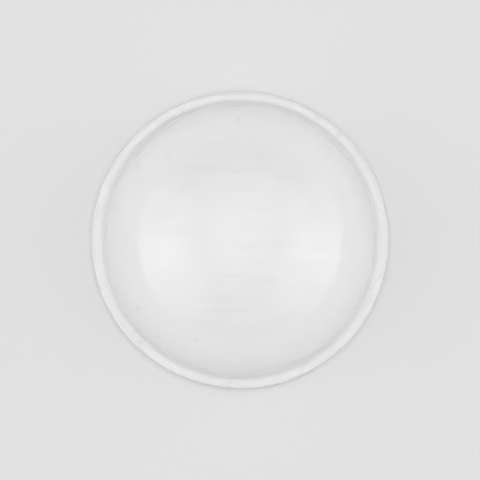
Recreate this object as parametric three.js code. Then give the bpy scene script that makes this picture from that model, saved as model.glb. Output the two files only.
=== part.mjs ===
// Self-adhesive cabinet door bumper: a clear polyurethane dome, cast in one piece with the thin
// rim that the die cut leaves around its foot, on a disc of pressure-sensitive adhesive.
// Millimetres, +Z up. The origin is the centre of the adhesive's lower face, which sticks to
// the door or its frame, and the closing door lands on the crown of the dome.

import * as THREE from "three";

// Driving dimensions
const DOME_DIAMETER = 9.3; // of the ball face, measured on the rim's top face
const DOME_RISE = 3.55; // crown above the rim's top face
const FOOT_FILLET = 0.15; // radius that blends the ball face into the rim
const RIM_WIDTH = 0.35; // cast film left outside the dome by the die cut
const RIM_THICKNESS = 0.3; // cast film under and around the dome
const RIM_EDGE_ROUND = 0.08; // softened upper edge of the rim
const ADHESIVE_THICKNESS = 0.15; // transfer tape laminated to the cast film before the die cut

// Facets
const TURN_STEPS = 96; // around the axis
const BALL_STEPS = 20; // from the fillet up to the crown
const FILLET_STEPS = 5;
const EDGE_STEPS = 3;

const QUARTER_TURN = Math.PI / 2;

// The tape and the cast film are cut by the same stroke, so they share one radius.
const rimRadius = DOME_DIAMETER / 2 + RIM_WIDTH;

// Points of a circular arc, from one angle to another, the short way round.
function arc(centreX, centreY, radius, from, to, steps) {
  const clockwise = to < from;
  const curve = new THREE.EllipseCurve(centreX, centreY, radius, radius, from, to, clockwise);
  return curve.getPoints(steps);
}

// Turns a half section, drawn as radius against height and closed on the axis, about +Z.
function revolve(halfSection) {
  const turned = new THREE.LatheGeometry(halfSection, TURN_STEPS);
  return turned.rotateX(QUARTER_TURN);
}

// The ball through the crown and the dome's foot, with its centre on the axis.
function ballThroughFoot(footRadius, rise) {
  const radius = (footRadius ** 2 + rise ** 2) / (2 * rise);
  return { radius, height: RIM_THICKNESS + rise - radius };
}

// The fillet that touches the rim's top face and the outside of the ball. Between the ball's
// foot and the rounded edge there has to be room for it, so the rim's width limits its radius.
function footFillet(ball) {
  const room = RIM_WIDTH - RIM_EDGE_ROUND;
  const radius = Math.min(FOOT_FILLET, room);
  const height = RIM_THICKNESS + radius;
  const centre = Math.sqrt((ball.radius + radius) ** 2 - (height - ball.height) ** 2);
  const touchAngle = Math.atan2(height - ball.height, centre);
  return { radius, height, centre, touchAngle };
}

// Cast body: flat base, die-cut edge, softened upper edge, flat rim, foot fillet and ball face.
// The ball's arc leaves out its first point, where the fillet ends, and its last, the crown,
// which is set exactly on the axis.
function domeGeometry() {
  const ball = ballThroughFoot(DOME_DIAMETER / 2, DOME_RISE);
  const fillet = footFillet(ball);
  const edgeRound = Math.min(RIM_EDGE_ROUND, RIM_THICKNESS);
  const edgeCentre = rimRadius - edgeRound;
  const halfSection = [
    new THREE.Vector2(0, 0),
    new THREE.Vector2(rimRadius, 0),
    ...arc(edgeCentre, RIM_THICKNESS - edgeRound, edgeRound, 0, QUARTER_TURN, EDGE_STEPS),
    ...arc(
      fillet.centre,
      fillet.height,
      fillet.radius,
      -QUARTER_TURN,
      fillet.touchAngle - Math.PI,
      FILLET_STEPS,
    ),
    ...arc(0, ball.height, ball.radius, fillet.touchAngle, QUARTER_TURN, BALL_STEPS).slice(1, -1),
    new THREE.Vector2(0, RIM_THICKNESS + DOME_RISE),
  ];
  return revolve(halfSection);
}

// Tape disc, a plain cylinder of the rim's own radius.
function adhesiveGeometry() {
  const halfSection = [
    new THREE.Vector2(0, 0),
    new THREE.Vector2(rimRadius, 0),
    new THREE.Vector2(rimRadius, ADHESIVE_THICKNESS),
    new THREE.Vector2(0, ADHESIVE_THICKNESS),
  ];
  return revolve(halfSection);
}

const clearPolyurethane = new THREE.MeshStandardMaterial({
  color: 0xeeefef,
  roughness: 0.25,
  metalness: 0,
  transparent: true,
  opacity: 0.45,
});

const hazyAdhesive = new THREE.MeshStandardMaterial({
  color: 0xe6e6e2,
  roughness: 0.6,
  metalness: 0,
  transparent: true,
  opacity: 0.8,
});

const adhesiveDisc = new THREE.Mesh(adhesiveGeometry(), hazyAdhesive);
adhesiveDisc.name = "adhesive_disc";

const dome = new THREE.Mesh(domeGeometry(), clearPolyurethane);
dome.name = "dome";
dome.position.z = ADHESIVE_THICKNESS;

const bumper = new THREE.Group();
bumper.name = "cabinet_door_bumper";
bumper.add(adhesiveDisc, dome);

export default bumper;
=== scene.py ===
import math

import bmesh
import bpy
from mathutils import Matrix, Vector, noise


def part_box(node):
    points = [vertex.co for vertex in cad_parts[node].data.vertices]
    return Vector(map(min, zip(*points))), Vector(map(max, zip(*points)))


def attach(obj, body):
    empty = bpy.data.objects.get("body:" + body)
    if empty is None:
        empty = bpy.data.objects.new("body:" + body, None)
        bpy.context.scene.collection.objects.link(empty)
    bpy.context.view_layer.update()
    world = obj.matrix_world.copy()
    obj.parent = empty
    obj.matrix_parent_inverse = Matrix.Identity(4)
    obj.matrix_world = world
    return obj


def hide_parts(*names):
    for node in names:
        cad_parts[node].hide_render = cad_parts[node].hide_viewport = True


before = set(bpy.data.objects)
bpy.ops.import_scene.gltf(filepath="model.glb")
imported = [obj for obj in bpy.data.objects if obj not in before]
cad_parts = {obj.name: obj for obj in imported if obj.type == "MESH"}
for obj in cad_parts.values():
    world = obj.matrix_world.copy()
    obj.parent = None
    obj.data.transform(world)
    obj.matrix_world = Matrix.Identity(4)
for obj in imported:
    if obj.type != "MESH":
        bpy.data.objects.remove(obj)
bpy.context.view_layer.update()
MM = 0.001

# The cast dome is clear soft polyurethane, cast in one piece. Its ball face runs through a small
# fillet into a thin flat rim, which is what a round die leaves of the cast film when it cuts the
# bumper out, so the rim's edge is a knife's cut, a little out of round.
dome_low, dome_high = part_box("dome")
RIM_RADIUS = dome_high.x
BASE_HEIGHT = dome_low.z
CROWN_HEIGHT = dome_high.z
RIM_WIDTH = 0.35 * MM
RIM_THICKNESS = 0.3 * MM
RIM_EDGE_ROUND = 0.08 * MM
FOOT_FILLET = 0.15 * MM
TURN_STEPS = 256
EDGE_STEPS = 10
FILLET_STEPS = 14
BALL_STEPS = 110
BASE_RINGS = 24
SHARP_EDGE = math.radians(50)
QUARTER_TURN = math.pi / 2


def arc(radius_out, height, size, start, end, steps):
    """Points of an arc in the half section, each as its distance from the axis and its height."""
    points = []
    for step in range(steps + 1):
        angle = start + (end - start) * step / steps
        points.append((radius_out + size * math.cos(angle), height + size * math.sin(angle)))
    return points


def turn(name, half_section, drawn_in):
    """Turns a half section about the axis, from its lowest point there to its highest.
    drawn_in says how far a ring is pulled towards the axis, by its radius and the angle."""
    shape = bmesh.new()
    lowest = shape.verts.new((0, 0, half_section[0][1]))
    highest = shape.verts.new((0, 0, half_section[-1][1]))
    rings = []
    for radius, height in half_section[1:-1]:
        ring = []
        for step in range(TURN_STEPS):
            angle = 2 * math.pi * step / TURN_STEPS
            reach = radius - drawn_in(radius, angle)
            ring.append(shape.verts.new((reach * math.cos(angle), reach * math.sin(angle), height)))
        rings.append(ring)
    for step in range(TURN_STEPS):
        after = (step + 1) % TURN_STEPS
        shape.faces.new((lowest, rings[0][after], rings[0][step]))
        for inner, outer in zip(rings, rings[1:]):
            shape.faces.new((inner[step], inner[after], outer[after], outer[step]))
        shape.faces.new((highest, rings[-1][step], rings[-1][after]))
    mesh = bpy.data.meshes.new(name)
    shape.to_mesh(mesh)
    shape.free()
    piece = bpy.data.objects.new(name, mesh)
    bpy.context.scene.collection.objects.link(piece)
    return piece


def smooth(piece):
    """Shades the piece smooth, apart from its sharp edges."""
    piece.data.shade_smooth()
    piece.data.set_sharp_from_angle(angle=SHARP_EDGE)


foot_radius = RIM_RADIUS - RIM_WIDTH
rim_top = BASE_HEIGHT + RIM_THICKNESS
rim_flat = RIM_RADIUS - RIM_EDGE_ROUND
rise = CROWN_HEIGHT - rim_top
ball_radius = (foot_radius ** 2 + rise ** 2) / (2 * rise)
ball_height = CROWN_HEIGHT - ball_radius
fillet_height = rim_top + FOOT_FILLET
fillet_out = math.sqrt((ball_radius + FOOT_FILLET) ** 2 - (fillet_height - ball_height) ** 2)
touch_angle = math.atan2(fillet_height - ball_height, fillet_out)

dome_section = [(RIM_RADIUS * ring / BASE_RINGS, BASE_HEIGHT) for ring in range(BASE_RINGS + 1)]
dome_section += arc(rim_flat, rim_top - RIM_EDGE_ROUND, RIM_EDGE_ROUND, 0, QUARTER_TURN, EDGE_STEPS)
dome_section += arc(
    fillet_out, fillet_height, FOOT_FILLET, -QUARTER_TURN, touch_angle - math.pi, FILLET_STEPS
)
dome_section += arc(0, ball_height, ball_radius, touch_angle, QUARTER_TURN, BALL_STEPS)[1:]

CUT_DEPTH = 0.035 * MM
CUT_WAVES = 2.2
CUT_FINENESS = 9
CUT_SLOW_SHARE = 0.8
CUT_FINE_SHARE = 0.2


def waver(place):
    """Smooth noise at this place, from 0 to 1."""
    return 0.5 + 0.5 * noise.noise(place)


def cut_wobble(radius, angle):
    """How far the die's cut strays inwards from a true circle. It fades out towards the foot."""
    around = Vector((math.cos(angle), math.sin(angle), 0)) * CUT_WAVES
    strayed = CUT_SLOW_SHARE * waver(around) + CUT_FINE_SHARE * waver(around * CUT_FINENESS)
    fade = max(0.0, (radius - fillet_out) / (RIM_RADIUS - fillet_out))
    return CUT_DEPTH * fade * strayed


dome = turn("clear_dome", dome_section, cut_wobble)
smooth(dome)


class Shade:
    """An output socket in a node tree. Sums and products of it add Math nodes there."""

    def __init__(self, tree, socket=None):
        self.tree = tree
        self.socket = socket

    def node(self, kind, settings, sockets, output=0):
        """Adds a node: its settings first, then the values or links of its input sockets."""
        made = self.tree.nodes.new(kind)
        for name, value in settings.items():
            setattr(made, name, value)
        for key, value in sockets.items():
            if isinstance(value, Shade):
                self.tree.links.new(value.socket, made.inputs[key])
            else:
                made.inputs[key].default_value = value
        return Shade(self.tree, made.outputs[output])

    def close(self, kind):
        """Links this socket to the tree's output, a node of this kind."""
        end = self.tree.nodes.new(kind)
        self.tree.links.new(self.socket, end.inputs["Surface"])

    def between(self, low, high):
        """Mixes two colours by this mask, from low at 0 to high at 1."""
        return self.node("ShaderNodeMix", {"data_type": "RGBA"}, {0: self, 6: low, 7: high}, 2)

    def grain(self, lumps, detail, stretch=(1, 1, 1)):
        """Noise over this place, with its lumps per metre, and times these along X, Y and Z."""
        placed = self.node("ShaderNodeMapping", {}, {"Vector": self, "Scale": stretch})
        return self.node("ShaderNodeTexNoise", {}, {"Vector": placed, "Scale": lumps, "Detail": detail})

    def off_axis(self):
        """How far this place is from the bumper's axis."""
        flat = self.node("ShaderNodeVectorMath", {"operation": "MULTIPLY"}, {0: self, 1: (1, 1, 0)})
        return self.node("ShaderNodeVectorMath", {"operation": "LENGTH"}, {0: flat}, "Value")

    def along(self, axis):
        """How far this vector reaches along an axis, 1 where both have one length and direction."""
        return self.node("ShaderNodeVectorMath", {"operation": "DOT_PRODUCT"}, {0: self, 1: axis}, "Value")

    def rises(self, start, end):
        """A soft step of this value: 0 at start and before it, 1 at end and past it."""
        return self.node(
            "ShaderNodeMapRange",
            {"interpolation_type": "SMOOTHSTEP"},
            {"Value": self, "From Min": start, "From Max": end},
        )

    def maths(self, operation, left, right):
        """One Math node on two values, each a number or a shade."""
        return self.node("ShaderNodeMath", {"operation": operation}, {0: left, 1: right})

    def __add__(self, other):
        return self.maths("ADD", self, other)

    def __sub__(self, other):
        return self.maths("SUBTRACT", self, other)

    def __rsub__(self, other):
        return self.maths("SUBTRACT", other, self)

    def __mul__(self, other):
        return self.maths("MULTIPLY", self, other)

    __radd__ = __add__
    __rmul__ = __mul__


def start_material(name):
    """A new material, and an empty shade that adds nodes to its tree."""
    material = bpy.data.materials.new(name)
    material.use_nodes = True
    material.node_tree.nodes.clear()
    return material, Shade(material.node_tree)


def surface(shade, sockets):
    """Ends a material's tree in one Principled surface."""
    shade.node("ShaderNodeBsdfPrincipled", {}, sockets).close("ShaderNodeOutputMaterial")


# The cast face is glossy, with a faint ripple, the marks of handling and a few rubbed streaks.
# The knife leaves the cut edge duller, with fine upright lines. Each grain is its lumps per
# metre, its detail and, where it is drawn out, its stretch.
RIPPLE = (700, 1)
PEEL = (3800, 2)
HANDLING = (900, 6)
RUBBED = (800, 3, (1, 9, 1))
KNIFE_LINES = (9000, 2, (1, 1, 0.04))
RUBBED_FROM = 0.6
RUBBED_TO = 0.7
CUT_FROM = RIM_RADIUS - 0.07 * MM
CUT_TO = RIM_RADIUS - 0.04 * MM
CAST_RELIEF = 0.012 * MM
RIPPLE_HEIGHT = 0.8
PEEL_HEIGHT = 0.03
KNIFE_HEIGHT = 0.4
CAST_ROUGHNESS = 0.09
HANDLING_DULLS = 0.07
RUBBING_DULLS = 0.06
KNIFE_DULLS = 0.25
CAST_COLOUR = (0.988, 0.988, 0.988, 1)
CAST_IOR = 1.5
CAST_CLEARNESS = 0.94
clear_cast, shade = start_material("clear_polyurethane")
place = shade.node("ShaderNodeTexCoord", {}, {}, "Object")
ripple = place.grain(*RIPPLE)
peel = place.grain(*PEEL)
handling = place.grain(*HANDLING)
rubbed = place.grain(*RUBBED).rises(RUBBED_FROM, RUBBED_TO)
cut = place.off_axis().rises(CUT_FROM, CUT_TO)
knife_lines = place.grain(*KNIFE_LINES)
bump = shade.node("ShaderNodeBump", {}, {
    "Height": ripple * RIPPLE_HEIGHT + peel * PEEL_HEIGHT + cut * knife_lines * KNIFE_HEIGHT,
    "Strength": 1,
    "Distance": CAST_RELIEF,
})
surface(shade, {
    "Base Color": CAST_COLOUR,
    "Roughness": CAST_ROUGHNESS + handling * HANDLING_DULLS + rubbed * RUBBING_DULLS + cut * KNIFE_DULLS,
    "IOR": CAST_IOR,
    "Transmission Weight": CAST_CLEARNESS,
    "Normal": bump,
})
dome.data.materials.append(clear_cast)

# Where the adhesive bonds to the cast film, it shows through the dome as a pale milky face. Its colour is
# painted lighter towards the dome's foot, a painted light, and painted greyer again under the thin rim, a
# painted shade. It has streaks near its middle, and small flecks where it missed.
# BOND_MIDDLE is the face's colour in its middle; the foot colour is painted light and the rim colour is
# painted shade.
BOND_MIDDLE = (0.735, 0.735, 0.735, 1)
BOND_FOOT_PAINTED_LIGHT = (0.976, 0.976, 0.976, 1)
BOND_RIM_PAINTED_SHADE = (0.925, 0.925, 0.925, 1)
BOND_MISSED = (0.68, 0.68, 0.68, 1)
BOND_ROUGHNESS = 0.7
PAINTED_LIGHT_FROM = 1.5 * MM
PAINTED_LIGHT_TO = 4.2 * MM
PAINTED_SHADE_FROM = 4.5 * MM
PAINTED_SHADE_TO = 4.7 * MM
STREAKS = (620, 3, (1, 6, 1))
STREAK_FROM = 0.5
STREAK_TO = 0.66
STREAKED_FROM = 2.9 * MM
STREAKED_TO = 1.2 * MM
STREAK_DEPTH = 0.55
FLECKS = (3000, 2)
FLECK_FROM = 0.64
FLECK_TO = 0.74
FLECK_DEPTH = 0.3
BASE_TOLERANCE = 0.001 * MM
bonded_face, shade = start_material("bonded_face")
place = shade.node("ShaderNodeTexCoord", {}, {}, "Object")
out = place.off_axis()
# Painted light lightens the face towards the foot, then painted shade greys it under the rim.
painted_light_inside = out.rises(PAINTED_LIGHT_FROM, PAINTED_LIGHT_TO).between(BOND_MIDDLE, BOND_FOOT_PAINTED_LIGHT)
painted_light_and_shade = out.rises(PAINTED_SHADE_FROM, PAINTED_SHADE_TO).between(painted_light_inside, BOND_RIM_PAINTED_SHADE)
streaks = place.grain(*STREAKS).rises(STREAK_FROM, STREAK_TO) * out.rises(STREAKED_FROM, STREAKED_TO)
flecks = place.grain(*FLECKS).rises(FLECK_FROM, FLECK_TO)
missed = shade.maths("MAXIMUM", streaks * STREAK_DEPTH, flecks * FLECK_DEPTH)
surface(shade, {
    "Base Color": missed.between(painted_light_and_shade, BOND_MISSED),
    "Roughness": BOND_ROUGHNESS,
    "Specular IOR Level": 0,
})
dome.data.materials.append(bonded_face)
bonded_slot = dome.data.materials.find(bonded_face.name)
for face in dome.data.polygons:
    if face.center.z < BASE_HEIGHT + BASE_TOLERANCE:
        face.material_index = bonded_slot

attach(dome, "root")
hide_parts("dome")

# The adhesive disc is a transfer tape of clear acrylic adhesive, laminated to the cast film's
# flat face before the same die cuts both. It is soft, so its edge stands back a little under the
# rim and is rounded.
tape_low, tape_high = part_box("adhesive_disc")
TAPE_CLEARANCE = 0.004 * MM
TAPE_EDGE_ROUND = 0.05 * MM
TAPE_EDGE_STEPS = 6
TAPE_RINGS = 12

tape_top = tape_high.z - TAPE_CLEARANCE
tape_flat = RIM_RADIUS - TAPE_EDGE_ROUND
lower_edge = tape_low.z + TAPE_EDGE_ROUND
upper_edge = tape_top - TAPE_EDGE_ROUND
tape_section = [(tape_flat * ring / TAPE_RINGS, tape_low.z) for ring in range(TAPE_RINGS)]
tape_section += arc(tape_flat, lower_edge, TAPE_EDGE_ROUND, -QUARTER_TURN, 0, TAPE_EDGE_STEPS)
tape_section += arc(tape_flat, upper_edge, TAPE_EDGE_ROUND, 0, QUARTER_TURN, TAPE_EDGE_STEPS)
tape_section += [(0, tape_top)]

DRAWN_BACK = 0.03 * MM
DRAWN_EVENLY = 0.35
DRAWN_UNEVENLY = 0.65
DRAG_WAVES = 3.1
DRAG_SLICE = 0.7


def tape_wobble(radius, angle):
    """How far the adhesive's edge stands back, more where the knife dragged it."""
    around = Vector((math.cos(angle), math.sin(angle), DRAG_SLICE))
    dragged = DRAWN_EVENLY + DRAWN_UNEVENLY * waver(around * DRAG_WAVES)
    return DRAWN_BACK * dragged * radius / RIM_RADIUS


tape = turn("adhesive_film", tape_section, tape_wobble)
smooth(tape)

# The adhesive is hazy, with clearer patches, an uneven tacky skin and pits of trapped air.
ADHESIVE_HAZY = (0.98, 0.98, 0.972, 1)
ADHESIVE_CLEARER = (0.92, 0.92, 0.9, 1)
PATCHES = (1100, 4)
PATCH_FROM = 0.42
PATCH_TO = 0.66
SKIN = (2600, 5)
PITS = (5200, 1)
PIT_FROM = 0.68
PIT_TO = 0.76
PIT_DEPTH = 0.8
ADHESIVE_RELIEF = 0.01 * MM
ADHESIVE_ROUGHNESS = 0.3
SKIN_DULLS = 0.25
PITS_DULL = 0.2
ADHESIVE_CLEARNESS = 0.15
acrylic, shade = start_material("clear_acrylic_adhesive")
place = shade.node("ShaderNodeTexCoord", {}, {}, "Object")
patches = place.grain(*PATCHES).rises(PATCH_FROM, PATCH_TO)
skin = place.grain(*SKIN)
pits = place.grain(*PITS).rises(PIT_FROM, PIT_TO)
bump = shade.node("ShaderNodeBump", {}, {
    "Height": skin - pits * PIT_DEPTH,
    "Strength": 1,
    "Distance": ADHESIVE_RELIEF,
})
surface(shade, {
    "Base Color": patches.between(ADHESIVE_HAZY, ADHESIVE_CLEARER),
    "Roughness": ADHESIVE_ROUGHNESS + skin * SKIN_DULLS + pits * PITS_DULL,
    "Transmission Weight": ADHESIVE_CLEARNESS,
    "Normal": bump,
})
tape.data.materials.append(acrylic)
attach(tape, "root")
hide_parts("adhesive_disc")

# The studio has a plain pale floor, a soft panel overhead, wide soft panels to the bumper's left
# and right and a weaker one behind it.
FLOOR_COLOUR = (0.782, 0.781, 0.78, 1)
FLOOR_ROUGHNESS = 0.8
FLOOR_SPECULAR = 0.2
FLOOR_SIZE = 1.6
half = FLOOR_SIZE / 2
corners = [(-half, -half, 0), (half, -half, 0), (half, half, 0), (-half, half, 0)]
floor_mesh = bpy.data.meshes.new("floor")
floor_mesh.from_pydata(corners, [], [(0, 1, 2, 3)])
floor = bpy.data.objects.new("floor", floor_mesh)
bpy.context.scene.collection.objects.link(floor)
paper, shade = start_material("floor")
surface(shade, {
    "Base Color": FLOOR_COLOUR,
    "Roughness": FLOOR_ROUGHNESS,
    "Specular IOR Level": FLOOR_SPECULAR,
})
floor_mesh.materials.append(paper)

TOP_PLACE = (0, 0, 0.6)
TOP_SIZE = (0.5, 0.5)
TOP_RADIANCE = 2.43
SIDE_PLACE = (0.45, 0, 0.22)
SIDE_SIZE = (0.8, 0.52)
SIDE_RADIANCE = 0.4
SIDE_SPREAD = 130
BACK_PLACE = (0, 0.4, 0.3)
BACK_SIZE = (0.5, 0.3)
BACK_RADIANCE = 0.12
OPEN_SPREAD = 180


def panel(name, place, size, radiance, spread):
    """A rectangular soft light, which faces the bumper and doesn't show as a shine."""
    light = bpy.data.lights.new(name, "AREA")
    light.shape = "RECTANGLE"
    light.size = size[0]
    light.size_y = size[1]
    light.energy = radiance * math.pi * size[0] * size[1]
    light.spread = math.radians(spread)
    lamp = bpy.data.objects.new(name, light)
    bpy.context.scene.collection.objects.link(lamp)
    lamp.location = place
    lamp.rotation_euler = Vector(place).to_track_quat("Z", "Y").to_euler()
    lamp.visible_camera = False
    lamp.visible_glossy = False


panel("top_panel", TOP_PLACE, TOP_SIZE, TOP_RADIANCE, OPEN_SPREAD)
panel("back_panel", BACK_PLACE, BACK_SIZE, BACK_RADIANCE, OPEN_SPREAD)
for side in (-1, 1):
    place = (side * SIDE_PLACE[0], SIDE_PLACE[1], SIDE_PLACE[2])
    panel("side_panel", place, SIDE_SIZE, SIDE_RADIANCE, SIDE_SPREAD)

# The room adds a plain even light and a white backdrop. What the bumper mirrors or bends is a
# pale ceiling over dimmer walls, and its shine also holds two soft windows on either side.
ROOM_LIGHT = 0.32
BACKDROP_LIGHT = 1.0
CEILING_LIGHT = 1.0
CEILING_AXIS = (0, -0.16, 0.987)
CEILING_FROM = 0.3
CEILING_TO = 0.5
WALL_LIGHT = 0.5
WINDOW_LIGHT = 1.3
WINDOW_ELEVATION = math.radians(20)
WINDOW_AZIMUTHS = (math.radians(8), math.radians(-28))
WINDOW_EDGE = math.cos(math.radians(42))
WHITE = (1, 1, 1, 1)
world = bpy.data.worlds.new("room")
bpy.context.scene.world = world
world.use_nodes = True
world.node_tree.nodes.clear()
room = Shade(world.node_tree)
seen = room.node("ShaderNodeLightPath", {}, {}, "Is Camera Ray")
glossy = room.node("ShaderNodeLightPath", {}, {}, "Is Glossy Ray")
through = room.node("ShaderNodeLightPath", {}, {}, "Is Transmission Ray")
reflected = room.node("ShaderNodeLightPath", {}, {}, "Is Reflection Ray")
mirrored = room.maths("MINIMUM", glossy + through, 1)
towards = room.node("ShaderNodeTexCoord", {}, {}, "Generated")
ceiling = towards.along(CEILING_AXIS).rises(CEILING_FROM, CEILING_TO)
reflection = WALL_LIGHT + ceiling * (CEILING_LIGHT - WALL_LIGHT)
window_reach = math.cos(WINDOW_ELEVATION)
window_height = math.sin(WINDOW_ELEVATION)
for side in (-1, 1):
    for azimuth in WINDOW_AZIMUTHS:
        sideways = side * window_reach * math.cos(azimuth)
        axis = (sideways, window_reach * math.sin(azimuth), window_height)
        window = towards.along(axis).rises(WINDOW_EDGE, 1)
        reflection += window * reflected * WINDOW_LIGHT
strength = ROOM_LIGHT + seen * (BACKDROP_LIGHT - ROOM_LIGHT) + mirrored * (reflection - ROOM_LIGHT)
background = room.node("ShaderNodeBackground", {}, {"Color": WHITE, "Strength": strength})
background.close("ShaderNodeOutputWorld")

# The camera looks down from nearly overhead, a little from the front.
VIEW_ELEVATION = math.radians(86)
VIEW_DISTANCE = 0.35
BUMPER_SHARE = 0.62
NEAR_CLIP = 0.01
camera_data = bpy.data.cameras.new("camera")
camera = bpy.data.objects.new("camera", camera_data)
bpy.context.scene.collection.objects.link(camera)
bpy.context.scene.camera = camera
frame_width = 2 * RIM_RADIUS / BUMPER_SHARE
camera_data.lens = camera_data.sensor_width * VIEW_DISTANCE / frame_width
camera_data.clip_start = NEAR_CLIP
away = Vector((0, -math.cos(VIEW_ELEVATION), math.sin(VIEW_ELEVATION)))
camera.location = Vector((0, 0, RIM_THICKNESS)) + away * VIEW_DISTANCE
camera.rotation_mode = "QUATERNION"
camera.rotation_quaternion = away.to_track_quat("Z", "Y")

bpy.context.scene.view_settings.view_transform = "Standard"
